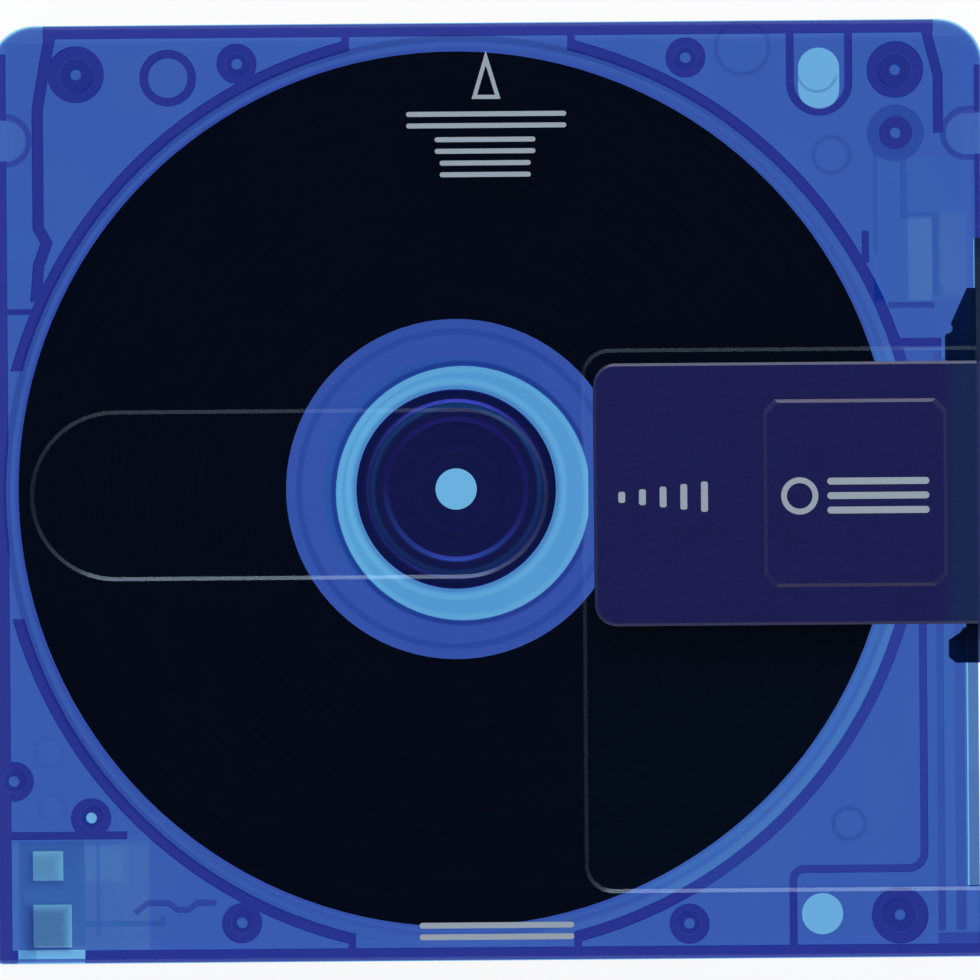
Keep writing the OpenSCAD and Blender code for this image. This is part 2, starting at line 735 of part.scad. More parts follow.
// Shape of the pressed pad: a plate with cut corners and sloping sides
module pad(grow, h) {
    x0 = half_w - 16.1;
    x1 = half_w - 2.8;
    y0 = shutter_rear + 2.75;
    y1 = shutter_front - 2.7;
    c = 0.8;
    slope = 0.25;
    hull() for (level = [0, 1]) {
        g = grow - level * slope;
        translate([0, 0, level * h]) linear_extrude(cut)
            polygon([[x0 - g, y0 + c - g], [x0 + c - g, y0 - g], [x1 - c + g, y0 - g], [x1 + g, y0 + c - g],
                [x1 + g, y1 - c + g], [x1 - c + g, y1 + g], [x0 + c - g, y1 + g], [x0 - g, y1 - c + g]]);
    }
}

// Rolled-over edges on the outer face of a leaf, as far as the bend
module leaf_edges() {
    r = leaf_corner_r;
    w = leaf_edge;
    d = w / 2;
    l = half_w - bend_r - shutter_x - r;
    translate([shutter_x + r, shutter_front, leaf_z]) chamfer_bar(l, w, d);
    translate([shutter_x + r + l, shutter_rear, leaf_z]) rotate(180) chamfer_bar(l, w, d);
    translate([shutter_x, shutter_rear + r, leaf_z]) rotate(90) chamfer_bar(shutter_w - 2 * r, w, d);
    translate([shutter_x + r, shutter_front - r, leaf_z]) rotate(90) chamfer_corner(r, w, d);
    translate([shutter_x + r, shutter_rear + r, leaf_z]) rotate(180) chamfer_corner(r, w, d);
}

module shutter() {
    top = cart_t - leaf_z;
    r = leaf_corner_r;
    color("#1e2155") difference() {
        union() {
            intersection() {
                translate([0, shutter_front, 0]) rotate([90, 0, 0])
                    linear_extrude(shutter_w) shutter_section();
                linear_extrude(far) {
                    box2([shutter_x + r, shutter_rear], [far, shutter_front]);
                    box2([shutter_x, shutter_rear + r], [far, shutter_front - r]);
                    for (y = [shutter_rear + r, shutter_front - r])
                        translate([shutter_x + r, y]) circle(r, $fn = 48);
                }
            }
            translate([0, 0, top - cut]) pad(0, pad_h);
        }
        translate([0, 0, top - sheet_t - cut]) pad(-0.05, pad_h);
        leaf_edges();
        turn_over() leaf_edges();
    }
}

// Slider that carries the shutter: a bar in the channel with a hooked foot at its rear, the
// faces outside the shells, and the claw at its front end
module shutter_slider() {
    bar_x = channel_x + 0.4;
    bar_front = shutter_front + 0.1;
    foot_front = shutter_rear - 0.7;
    claw_x = half_w - 2.8;
    outer_x = half_w - sheet_t;
    color("#10131f") {
        translate([0, 0, bar_z]) linear_extrude(cart_t - 2 * bar_z) {
            box2([bar_x, shutter_rear + 0.2], [side_x + slide_gap, bar_front]);
            polygon([[bar_x + 0.5, slider_rear], [side_x, slider_rear], [side_x, foot_front + 0.4],
                [bar_x + 1.1, foot_front + 0.4], [bar_x + 0.8, foot_front], [bar_x, foot_front - 0.5],
                [bar_x, slider_rear + 0.4]]);
            difference() {
                polygon([[claw_x, bar_front - cut], [claw_x, bar_front + 1.7],
                    [claw_x + 1.6, bar_front + 5.2], [half_w, bar_front + 5.2],
                    [half_w, bar_front + 0.8], [outer_x, bar_front + 0.8], [outer_x, bar_front - cut]]);
                translate([claw_x + 0.15, bar_front + 2.3]) circle(0.4, $fn = 32);
            }
        }
        translate([0, 0, face_z]) linear_extrude(cart_t - 2 * face_z) {
            box2([rail_x[1] + 0.15, slider_rear], [side_x - 0.05, bar_front]);
            box2([side_x - 0.1, slider_rear], [outer_x, bar_front + 0.8]);
            box2([side_x + slide_gap, bar_front + 0.8], [half_w, side_front]);
        }
        translate([0, 0, bar_z]) linear_extrude(cart_t - 2 * bar_z)
            box2([outer_x - cut, slider_rear], [half_w, foot_front]);
    }
}

// Moulded lever: an eye on its post, a latch finger beside the slider, and a springy tail
module lock_lever() {
    eye = lock_c;
    arm_x = keel_x - 1.15;
    arm_h = 0.5;
    color("#3f6fc4", 0.7) {
        translate([0, 0, lock_z]) linear_extrude(lock_t) difference() {
            translate(eye) circle(lock_eye_r);
            translate(eye) circle(lock_post_r + pin_gap);
        }
        translate([0, 0, split_z - arm_h / 2]) linear_extrude(arm_h) {
            run([[arm_x, eye[1] - 1.6], [arm_x, finger_y[0] + 0.4], [finger_x, finger_y[0] + 0.4],
                [finger_x, finger_y[0] - 0.3]], 0.5);
            run([[tail_x, eye[1] - 1], [tail_x, tail_end]], 0.3);
        }
        translate([0, 0, plate_t + 0.4]) linear_extrude(cart_t - 2 * plate_t - 0.8) {
            box2([finger_x - 0.2, finger_y[1]], [finger_x + 0.2, finger_y[0]]);
            polygon([[finger_x + 0.2 - cut, finger_y[1]], [channel_x + 0.2, finger_y[1]],
                [channel_x + 0.2, finger_y[1] + 0.4], [finger_x + 0.2 - cut, finger_y[1] + 1]]);
        }
    }
}

// Sliding tab: a plate over the sensing holes, stiffened by two ribs, with a nub in the rear slot
// and a springy arm that rests against the wavy rib
module write_protect_tab() {
    upstand_h = 0.5;
    nub_h = 1.1;
    color("#5b93e0", 0.7) translate([0, 0, tab_z]) {
        linear_extrude(tab_t) box2([tab_x, tab_rear], [step_x, tab_front]);
        translate([0, 0, tab_bed]) {
            linear_extrude(tab_t) {
                bar([step_x - 0.2, arm_y], [arm_end, arm_y], 0.4);
                box2([tab_x, -half_l + 0.1], [tab_x + nub_w, tab_rear + 0.4]);
            }
            linear_extrude(tab_t + upstand_h) {
                box2([step_x - 0.35, tab_rear + 0.8], [step_x, tab_front - 0.2]);
                translate([arm_end, arm_y]) circle(0.2, $fn = 24);
                bar([arm_end, arm_y], [arm_end, arm_y + 0.6], 0.4);
            }
            linear_extrude(nub_h) difference() {
                box2([tab_x, -half_l + 0.1], [tab_x + nub_w, slot_y[1] + 0.2]);
                translate([tab_x + nub_w / 2, -half_l + 0.1]) circle(0.25, $fn = 24);
            }
        }
    }
}

lower_shell();
upper_shell();
disc_substrate();
recording_layer();
clamping_plate();
shutter();
shutter_slider();
lock_lever();
write_protect_tab();
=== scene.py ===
# %% [markdown]
# A recordable minidisc in its see-through cartridge.
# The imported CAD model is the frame: nine solids that already have their true shape and place. This
# script gives each of them its finish, adds the printed marks, and sets up the studio and the camera.
# Lengths in the CAD model are metres, so a named millimetre keeps the sizes below readable.

import math

import bpy
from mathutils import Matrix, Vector


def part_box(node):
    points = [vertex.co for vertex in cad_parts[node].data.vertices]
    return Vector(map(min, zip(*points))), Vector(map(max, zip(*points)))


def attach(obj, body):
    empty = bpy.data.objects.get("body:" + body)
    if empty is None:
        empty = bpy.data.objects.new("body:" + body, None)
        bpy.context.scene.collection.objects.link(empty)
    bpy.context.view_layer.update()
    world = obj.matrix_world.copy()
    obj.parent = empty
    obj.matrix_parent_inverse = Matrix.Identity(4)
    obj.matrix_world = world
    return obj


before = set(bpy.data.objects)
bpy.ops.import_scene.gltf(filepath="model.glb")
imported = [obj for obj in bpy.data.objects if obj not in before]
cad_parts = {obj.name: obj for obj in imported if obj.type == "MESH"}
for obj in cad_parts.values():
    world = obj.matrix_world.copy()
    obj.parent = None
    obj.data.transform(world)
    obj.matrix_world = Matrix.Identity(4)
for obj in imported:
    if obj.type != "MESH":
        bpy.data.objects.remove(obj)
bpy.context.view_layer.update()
mm = 0.001

# %% [markdown]
# A maker measures from what is already there. The cartridge, the disc and the shutter are read from the
# frame, so that the patterns and prints measured from them follow the CAD model if it changes. The disc lies
# a little off the middle of its chamber, because it is loose, and the spindle opening in the lower shell has
# an axis of its own, so the three are kept apart.

# %% Places that the finishes are measured from
shell_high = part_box("upper_shell")[1]
top_z = shell_high.z
half_w, half_l, half_t = shell_high.x / mm, shell_high.y / mm, shell_high.z / 2 / mm
disc_low, disc_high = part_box("disc_substrate")
disc_centre = (disc_low + disc_high) / 2
chamber_axis = (disc_centre.x / mm + 0.3, disc_centre.y / mm - 0.2)
spindle_axis = (chamber_axis[0] + 0.2, chamber_axis[1] - 0.1)
shutter_low, shutter_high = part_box("shutter")
print("disc centre in mm:", [round(v / mm, 2) for v in disc_centre])
print("chamber axis in mm:", [round(v, 2) for v in chamber_axis])
print("shutter from x", round(shutter_low.x / mm, 2), "mm, top at z", round(shutter_high.z / mm, 2), "mm")

# %% [markdown]
# Patterns on a surface are sums: a noise here, a mask there. Written as node links they are hard to
# read, so a small class wraps a socket and lets Python's own operators add the Math nodes. Colours
# would turn grey in a Math node, so they are mixed by a node of their own.


# %% A number that varies over a surface
class Field:
    def __init__(self, finish, socket):
        self.finish, self.socket = finish, socket

    def _math(self, operation, *values):
        made = self.finish.node("ShaderNodeMath", {"operation": operation}, dict(enumerate(values)))
        return Field(self.finish, made.outputs[0])

    def __add__(self, other):
        return self._math("ADD", self, other)

    def __sub__(self, other):
        return self._math("SUBTRACT", self, other)

    def __mul__(self, other):
        return self._math("MULTIPLY", self, other)

    def __truediv__(self, other):
        return self._math("DIVIDE", self, other)

    def __rsub__(self, other):
        return self._math("SUBTRACT", other, self)

    __radd__ = __add__
    __rmul__ = __mul__

    def absolute(self):
        return self._math("ABSOLUTE", self)

    def smallest(self, other):
        return self._math("MINIMUM", self, other)

    def largest(self, other):
        return self._math("MAXIMUM", self, other)

    def power(self, other):
        return self._math("POWER", self, other)

    def ramp(self, start, end):
        """0 below start, 1 above end and smooth between; end may be the lower one."""
        made = self.finish.node(
            "ShaderNodeMapRange",
            {"interpolation_type": "SMOOTHSTEP"},
            {"Value": self, "From Min": min(start, end), "From Max": max(start, end)},
        )
        up = Field(self.finish, made.outputs["Result"])
        return up if end > start else 1 - up


# %% [markdown]
# Each finish is a material that is built once, by one method that adds any node: its kind, its
# settings, and what goes into its sockets. Everything reads Object coordinates, which are the CAD
# frame itself, so a pattern stays put when the piece slides or spins.


# %% A material under construction
class Finish:
    def __init__(self, name, world=False):
        self.made = bpy.data.worlds.new(name) if world else bpy.data.materials.new(name)
        self.made.use_nodes = True
        self.tree = self.made.node_tree
        self.tree.nodes.clear()
        self.out = "ShaderNodeOutputWorld" if world else "ShaderNodeOutputMaterial"

    def node(self, kind, settings=None, inputs=None):
        made = self.tree.nodes.new(kind)
        for name, value in (settings or {}).items():
            setattr(made, name, value)
        for name, value in (inputs or {}).items():
            if isinstance(value, Field):
                value = value.socket
            if isinstance(value, bpy.types.NodeSocket):
                self.tree.links.new(value, made.inputs[name])
            else:
                made.inputs[name].default_value = value
        return made

    def place(self, centre=(0, 0, 0), stretch=(1, 1, 1), turn=0):
        """Object coordinates, measured from a centre, in millimetres, stretched and turned about Z."""
        seen_from = self.node("ShaderNodeTexCoord").outputs["Object"]
        moved = self.node(
            "ShaderNodeVectorMath",
            {"operation": "SUBTRACT"},
            {0: seen_from, 1: tuple(centre)},
        ).outputs[0]
        return self.node(
            "ShaderNodeMapping",
            {},
            {"Vector": moved, "Rotation": (0, 0, turn), "Scale": tuple(s / mm for s in stretch)},
        ).outputs[0]

    def axes(self, vector):
        parts = self.node("ShaderNodeSeparateXYZ", {}, {0: vector}).outputs
        return [Field(self, parts[i]) for i in range(3)]

    def from_axis(self, cx=0.0, cy=0.0, centre=(0, 0, 0)):
        """Distance from an upright axis, in millimetres."""
        flat = self.place(centre, stretch=(1, 1, 0))
        made = self.node("ShaderNodeVectorMath", {"operation": "DISTANCE"}, {0: flat, 1: (cx, cy, 0)})
        return Field(self, made.outputs["Value"])

    def facing_up(self):
        """1 on a face that looks straight up, 0 on an upright one, below 0 on an underside."""
        normal = self.node("ShaderNodeNewGeometry").outputs["True Normal"]
        turned = Field(self, self.node("ShaderNodeNewGeometry").outputs["Backfacing"])
        return self.axes(normal)[2] * (1 - 2 * turned)

    def noise(self, vector, scale, detail=2.0, roughness=0.5):
        made = self.node(
            "ShaderNodeTexNoise",
            {},
            {"Vector": vector, "Scale": scale, "Detail": detail, "Roughness": roughness},
        )
        return Field(self, made.outputs[0])

    def blend(self, share, first, second):
        """A colour between two, by a share that varies."""
        first, second = [(*c, 1) if isinstance(c, tuple) else c for c in (first, second)]
        made = self.node("ShaderNodeMix", {"data_type": "RGBA"}, {0: share, 6: first, 7: second})
        return made.outputs[2]

    def bump(self, height, distance, strength=1.0):
        made = self.node(
            "ShaderNodeBump", {}, {"Height": height, "Distance": distance, "Strength": strength}
        )
        return made.outputs[0]

    def layer(self, share, under, over):
        """A shader between two, by a share that varies or not."""
        return self.node("ShaderNodeMixShader", {}, {0: share, 1: under, 2: over}).outputs[0]

    def clear(self, colour):
        return self.node("ShaderNodeBsdfTransparent", {}, {"Color": (*colour, 1)}).outputs[0]

    def solid(self, **inputs):
        named = {name.replace("_", " "): value for name, value in inputs.items()}
        for name, value in named.items():
            if "Color" in name and isinstance(value, tuple):
                named[name] = (*value, 1)
        return self.node("ShaderNodeBsdfPrincipled", {}, named).outputs[0]

    def shine(self, ior=1.5):
        """How much a clear wall mirrors, on its outer side only: the inner side would mirror all of a
        slanted ray, because no shader here bends light."""
        mirror = Field(self, self.node("ShaderNodeFresnel", {}, {"IOR": ior}).outputs[0])
        inside = Field(self, self.node("ShaderNodeNewGeometry").outputs["Backfacing"])
        return mirror * (1 - inside)

    def quick_shadow(self, surface, colour):
        """The same surface, but plain tinted to a ray that only asks how much light gets through."""
        asking = self.node("ShaderNodeLightPath").outputs["Is Shadow Ray"]
        return self.layer(asking, surface, self.clear(colour))

    def finish(self, surface, volume=None):
        self.node(self.out, {}, {"Surface": surface} | ({"Volume": volume} if volume else {}))
        print(f"finish {self.made.name}: {len(self.tree.nodes)} nodes")
        return self.made


# %% [markdown]
# Where a surface looks different, a mask says so: 1 inside the place and 0 outside it, with a soft edge.
# Nearly every place here is a rectangle or a ring, so two masks are enough. Drawn pictures would do it
# too, but a mask keeps its sharpness at any size and can be read as a drawing with dimensions.


# %% Masks, and the dressing of a CAD node
def patch(x, y, x0, x1, y0, y1, soft=0.15):
    """1 inside a rectangle, in millimetres, and 0 outside it."""
    across = (x - (x0 + x1) / 2).absolute() - (x1 - x0) / 2
    along = (y - (y0 + y1) / 2).absolute() - (y1 - y0) / 2
    return across.largest(along).ramp(soft, -soft)


def band(radius, inner, outer, soft=0.08):
    """1 between two radii, and 0 elsewhere."""
    return ((radius - (inner + outer) / 2).absolute() - (outer - inner) / 2).ramp(soft, -soft)


def dress(node, material):
    """Gives a CAD node its finish."""
    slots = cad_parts[node].material_slots
    if slots:
        for slot in slots:
            slot.material = material
    else:
        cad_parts[node].data.materials.append(material)


# %% [markdown]
# The shells are clear acrylic-like plastic, tinted blue. What we see is the pale table through it, so
# the colour depends on how much plastic the light meets: one plate is sky blue, two are royal blue,
# and the upright ribs, seen through their height, are nearly navy. A Transparent shader tints the
# light a little at each face, and Volume Absorption tints it with the length of the way inside. A
# glass shader would bend the view through every rib and need far more samples for the same colour. The
# gloss lies on the outer faces only, and the pins' ends have a tint of their own.

# %% Blue shell plastic
absorbed = (0.457, 0.0, 0.6)
absorbed_per_metre = 372
gloss_colour = (0.56, 0.72, 0.92)


def shell_plastic(name, tint, pale_tint, deep_tint, outside, pale_places, deep_places, pin_tint):
    f = Finish(name)
    x, y, z = f.axes(f.place())
    flow = f.noise(f.place(stretch=(1, 0.35, 1), turn=0.5), 0.22, 0).ramp(0.4, 0.74)
    marked = f.layer(flow * 0.16 + pale_places(f, x, y), f.clear(tint), f.clear(pale_tint))
    marked = f.layer(deep_places(f, x, y), marked, f.clear(deep_tint))
    plain = f.layer(z.ramp(1.3, 1.1), f.clear(tint), f.clear(pin_tint))
    tinted = f.layer(z.ramp(*outside), plain, marked)
    scuff = f.noise(f.place(stretch=(0.12, 3, 1), turn=0.7), 2.2, 1).ramp(0.6, 0.78)
    gloss = f.solid(Base_Color=gloss_colour, Metallic=1.0, Roughness=0.2 + 0.1 * scuff)
    inside = f.node(
        "ShaderNodeVolumeAbsorption", {}, {"Color": (*absorbed, 1), "Density": absorbed_per_metre}
    )
    outer = (z - half_t).absolute().ramp(half_t - 0.8, half_t - 0.75)
    outer = outer.largest(x.absolute().ramp(half_w - 0.8, half_w - 0.75))
    outer = outer.largest(y.absolute().ramp(half_l - 0.1, half_l - 0.05))
    return f.finish(
        f.quick_shadow(f.layer(f.shine() * outer, tinted, gloss), tint), inside.outputs[0]
    )


# %% [markdown]
# The shell shifts to a paler or a deeper tint in some places, and some of these are painted highlight and
# painted shade.
# Each of them is a soft mask on the shell's outside face. Its numbers are millimetres from the nearest
# edges or from an upright axis, as on a drawing, and the mould's own round marks are a short list.


# %% What the tints' places are measured from
mould_marks = (
    (half_w - 11, half_l - 9.8, 1.3),
    (half_w - 10.1, 9.7 - half_l, 1.15),
    (half_w - 17.4, half_l - 2, 1.9),
)
front_pin_axis = (half_w - 12, half_l - 3.8)


def from_edges(x, y):
    """Distances from the left, the right, the rear and the front edge, in millimetres."""
    return x + half_w, half_w - x, y + half_l, half_l - y


def chamber_side(f, x, y):
    """Distance from the chamber's axis, and 1 towards the rear shutter corner, -1 opposite it."""
    radius = f.from_axis(*chamber_axis)
    return radius, ((x - chamber_axis[0]) * 0.82 - (y - chamber_axis[1]) * 0.57) / radius


# %% [markdown]
# The label side is paler along one side of the chamber, over the pockets of the tab and the lever, in the
# grip notches, and on the front and left walls. Along the chamber and on the walls this is a painted
# highlight, where the chamber's ring and the outer walls catch the light. They are added up, and the sum
# stops at 1.


# %% Where the label side looks paler
def pale_above(f, x, y):
    left, right, rear, front = from_edges(x, y)
    radius, side = chamber_side(f, x, y)
    # painted highlight: the chamber's ring lit on the side towards the rear shutter corner
    chamber_ring_highlight = band(radius, 32.35, 32.9, 0.12) * side.ramp(0.2, 1.0)
    tab_pocket = patch(left, rear, 1.2, 11.1, 1.0, 8.6)
    second_square = patch(left, rear, 6.0, 9.4, 5.8, 8.4, 0.3)
    lever_pocket = patch(right, front, 3.8, 5.5, 14.3, 20.4)
    lever_pocket = lever_pocket + patch(right, front, 1.3, 3.3, 14.1, 20.1) * 0.6
    notches = ((x.absolute() - (half_w - 1)).power(2) + (front - 8.25).power(2)).ramp(3.0, 2.3)
    # painted highlight on the front and left walls
    walls = front.ramp(1.4, 1.1).largest(left.ramp(1.2, 1.0))
    pale = chamber_ring_highlight * 0.9 + tab_pocket * 0.35 + second_square * 0.25 + lever_pocket * 0.6 + notches * 0.8
    return (pale + walls * 0.8).smallest(1.0)


# %% [markdown]
# It is deeper along the other side of the chamber, along the open slot, over the tab's two windows, round the
# pin in the front corner, and round the mould's marks, where the ejector pins and the gate left a fine step.
# Along the chamber it is painted shade, on the side of the ring away from the light. The step itself is in
# the CAD model, and the thin dark line beside it is painted shade along its edge.


# %% Where it looks deeper
def deep_above(f, x, y):
    left, right, rear, front = from_edges(x, y)
    radius, side = chamber_side(f, x, y)
    # painted shade: the chamber's ring on the side away from the light
    chamber_ring_shade = band(radius, 32.6, 33.1) * side.ramp(0.6, -0.4) * 0.5
    slot = patch(right, rear, -0.2, 1.4, 5.1, 24.5, 0.05)
    squares = patch(left, rear, 2.4, 4.6, 5.8, 8.0, 0.6) * 0.3
    squares = squares + patch(left, rear, 2.3, 5.2, 0.9, 4.1, 0.6) * 0.55
    pin_mark = band(f.from_axis(*front_pin_axis), 1.3, 1.5, 0.06) * front.ramp(3.8, 4.4) * 0.5
    # painted shade: a thin dark line along each mould mark's step
    rims = [(f.from_axis(cx, cy) - r).absolute() for cx, cy, r in mould_marks]
    mould_step_shade = rims[0].smallest(rims[1]).smallest(rims[2]).ramp(0.2, 0.08) * 0.22
    return (chamber_ring_shade + slot + squares + pin_mark + mould_step_shade).smallest(1.0)


# %% [markdown]
# The underside is plainer: only the edge of its spindle opening is deeper. The two shells get different
# tints, because one plate over the table is sky blue in the photograph and two plates are royal blue,
# and one tint for both would miss one of these colours.


# %% The underside, and both shells' finishes
def pale_below(f, x, y):
    """The underside has no paler place."""
    return 0.0


def deep_below(f, x, y):
    """The edge of the spindle opening, as far as it is round."""
    return band(f.from_axis(*spindle_axis), 9.3, 9.6) * x.ramp(7.0, 6.8)


upper_tints = (0.448, 0.815, 0.981), (0.58, 0.97, 1.0), (0.21, 0.30, 0.54)
lower_tints = (0.575, 0.60, 0.82), (0.63, 0.66, 0.86), (0.31, 0.37, 0.63)
upper_blue = shell_plastic(
    "blue shell, label side", *upper_tints, (4.2, 4.25), pale_above, deep_above, (0.38, 0.70, 0.90)
)
lower_blue = shell_plastic(
    "blue shell, underside", *lower_tints, (0.8, 0.75), pale_below, deep_below, lower_tints[0]
)
dress("upper_shell", upper_blue)
dress("lower_shell", lower_blue)

# %% [markdown]
# The disc is clear polycarbonate, and its data layer is a nearly black film on top of it. The clear part
# shows a paler ring, and darker rings that are painted shade: one along the edge of the clamping plate, and
# one along a fine step moulded round the hub.


# %% Clear disc
def disc_plastic():
    f = Finish("clear disc plastic")
    place = f.place(disc_centre)
    radius = f.from_axis(centre=disc_centre)
    middle = radius.ramp(9.9, 9.4)
    # painted shade: darker rings along the clamping plate's edge and along the hub's fine step
    plate_and_step_shade = band(radius, 11.2, 11.65) * 0.4 + band(radius, 7.2, 7.5) * 0.5
    seat = band(radius, 7.65, 8.05, 0.12) + band(f.from_axis(*spindle_axis), 8.8, 9.2, 0.1) * 0.8
    clear = f.layer(middle, f.clear((0.95, 0.90, 0.975)), f.clear((0.795, 0.90, 0.96)))
    clear = f.layer(seat.smallest(1.0), clear, f.clear((0.91, 0.98, 1.0)))
    clear = f.layer(plate_and_step_shade, clear, f.clear((0.6, 0.64, 0.84)))
    fine = f.noise(place, 2.5, 2)
    gloss = f.solid(Base_Color=(1, 1, 1), Metallic=1.0, Roughness=0.04 + 0.05 * fine)
    return f.finish(f.quick_shadow(f.layer(f.shine(1.58), clear, gloss), (0.9, 0.93, 0.97)))


dress("disc_substrate", disc_plastic())

# %% [markdown]
# The data layer is a stack of films a few thousandths of a millimetre thick, on a spiral groove. The
# groove is far too fine to see, but the lacquer over it was spun on, so faint rings run round it. The
# noise is read along the radius, and gives those rings their tone, their gloss and a little relief.


# %% Data layer
def data_layer():
    f = Finish("black data layer")
    place = f.place(disc_centre)
    radius = f.from_axis(centre=disc_centre)
    bands = f.noise(
        f.node("ShaderNodeCombineXYZ", {}, {0: radius, 1: 0.0, 2: 0.0}).outputs[0], 3.1, 2, 0.7
    )
    cloud = f.noise(place, 0.12, 1)
    colour = f.blend(bands * 0.6 + cloud * 0.4, (0.0085, 0.0047, 0.0072), (0.0165, 0.0098, 0.0145))
    return f.finish(
        f.solid(
            Base_Color=colour,
            Roughness=0.22 + 0.12 * bands,
            Specular_IOR_Level=0.4,
            Normal=f.bump(bands, 0.002 * mm, 0.2),
        )
    )


dress("recording_layer", data_layer())

# %% [markdown]
# The clamping plate is pressed from thin steel sheet, and a player's magnet holds it. Turning marks run round
# it, so the noise that gives its brushed look is read along the radius. Its upper face has a violet tone,
# which looks navy through the blue shell, and is darker towards its rim. Two pale rings on it are painted
# highlights where the sheet is bent, each brighter on the side whose slope faces the light. The lower face is
# bare steel.


# %% Pressed steel
def pressed_steel():
    f = Finish("pressed steel")
    place = f.place(disc_centre)
    x, y, z = f.axes(place)
    radius = f.from_axis(centre=disc_centre)
    rings = f.noise(
        f.node("ShaderNodeCombineXYZ", {}, {0: radius, 1: z * 0.2, 2: 0.0}).outputs[0], 6.0, 5, 0.75
    )
    blotch = f.noise(place, 0.7, 3)
    tone = rings * 0.5 + blotch * 0.5
    # painted highlights: the two pale rings where the sheet is bent, each brighter on the side facing the
    # light
    front = (y * 0.8 + x * 0.2) / radius
    rolled_ring_highlight = band(radius, 5.9, 6.25, 0.14) * (0.45 + 0.55 * front.ramp(-0.2, 0.9))
    pressed = band(radius, 4.95, 5.3, 0.12) * front.ramp(0.1, -0.7)
    violet = f.blend(tone, (0.62, 0.105, 0.28), (0.98, 0.185, 0.44))
    violet = f.blend(radius.ramp(6.5, 6.9) * 0.6, violet, (0.2, 0.1, 0.3))
    violet = f.blend((rolled_ring_highlight + pressed * 0.5).smallest(1.0) * 0.8, violet, (1.0, 0.9, 1.0))
    bare = f.blend(tone, (0.42, 0.41, 0.40), (0.60, 0.59, 0.58))
    return f.finish(
        f.solid(
            Base_Color=f.blend(f.facing_up().ramp(-0.1, 0.1), bare, violet),
            Metallic=1.0,
            Roughness=0.34 + 0.18 * rings,
            Normal=f.bump(rings, 0.01 * mm, 0.4),
        )
    )


dress("clamping_plate", pressed_steel())

# %% [markdown]
# The shutter is a folded metal sheet in navy lacquer, slightly speckled. It turns towards teal near the edge,
# and where it bends over the edge a painted highlight makes it a little paler. A speckle in the colour alone
# would look printed, so the same noise also moves the gloss and the relief.


# %% Navy lacquer
def navy_lacquer():
    f = Finish("navy lacquer")
    place = f.place()
    x, y, z = f.axes(place)
    speckle = f.noise(place, 4.5, 3, 0.6).ramp(0.3, 0.7)
    cloud = f.noise(place, 0.25, 2)
    teal = x.ramp(32.6, 34.2)
    # painted highlight on the bend of the sheet over the edge
    bend_highlight = x.ramp(35.25, 35.6)
    base = f.blend(speckle * 0.5 + cloud * 0.5, (0.0120, 0.0132, 0.090), (0.0160, 0.0168, 0.111))
    base = f.blend(teal * 0.75, base, (0.010, 0.028, 0.095))
    base = f.blend(bend_highlight * 0.8, base, (0.035, 0.04, 0.15))
    return f.finish(
        f.solid(
            Base_Color=base,
            Roughness=0.2 + 0.08 * speckle,
            Specular_IOR_Level=0.3,
            Normal=f.bump(speckle, 0.003 * mm, 0.3),
        )
    )


dress("shutter", navy_lacquer())

# %% [markdown]
# The slider, the lock lever and the write-protect tab are small mouldings. The slider is nearly
# black. The other two are milky: light comes through, but softly, so their tint is mixed with a
# plain solid colour.


# %% Small mouldings
def slider_plastic():
    f = Finish("dark slider plastic")
    place = f.place()
    x, y, z = f.axes(place)
    grain = f.noise(place, 3.0, 4, 0.6)
    outer = x.ramp(35.3, 35.5) * y.ramp(9.2, 8.8)
    colour = f.blend(grain, (0.006, 0.016, 0.05), (0.012, 0.03, 0.085))
    return f.finish(
        f.solid(
            Base_Color=f.blend(outer * 0.85, colour, (0.10, 0.13, 0.32)),
            Roughness=0.4 + 0.15 * grain,
            Normal=f.bump(grain, 0.01 * mm, 0.5),
        )
    )


def milky_plastic(name, tint, body, milk):
    f = Finish(name)
    place = f.place()
    grain = f.noise(place, 1.8, 3)
    solid = f.solid(
        Base_Color=f.blend(grain, tuple(0.85 * c for c in body), body),
        Roughness=0.35 + 0.1 * grain,
        Normal=f.bump(grain, 0.004 * mm, 0.4),
    )
    return f.finish(f.layer(milk + 0.08 * grain, f.clear(tint), solid))


dress("shutter_slider", slider_plastic())
dress("lock_lever", milky_plastic("milky lever plastic", (0.93, 0.95, 0.98), (0.25, 0.42, 0.75), 0.04))
dress("write_protect_tab", milky_plastic("milky tab plastic", (0.93, 0.97, 0.99), (0.4, 0.65, 0.9), 0.10))

# %% [markdown]
# The printed marks are ink, about a hundredth of a millimetre thick. They could be a mask in the shell's
# material, but ink has its own edge and its own matt look, so each mark is a thin plate that lies on
# the face: a flat ring or bar, given its thickness by an extrusion. The marks are plain shapes.

# %% Grey ink
ink_t = 0.012 * mm


def grey_ink():
    f = Finish("grey ink")
    grain = f.noise(f.place(), 6.0, 4, 0.7)
    return f.finish(
        f.solid(
            Base_Color=f.blend(grain, (0.30, 0.37, 0.45), (0.40, 0.48, 0.57)),
            Roughness=0.55 + 0.2 * grain,
            Normal=f.bump(grain, 0.004 * mm, 0.5),
        )
    )


ink = grey_ink()

# %% [markdown]
# A print starts as a flat outline on the face: a square for a bar, a circle of few or many corners for
# a triangle or a ring. Its corners are rounded by a vertex bevel, an outline is hollowed by an inset, and
# the extrusion gives the ink its thickness. That is how one would draw it by hand in edit mode.


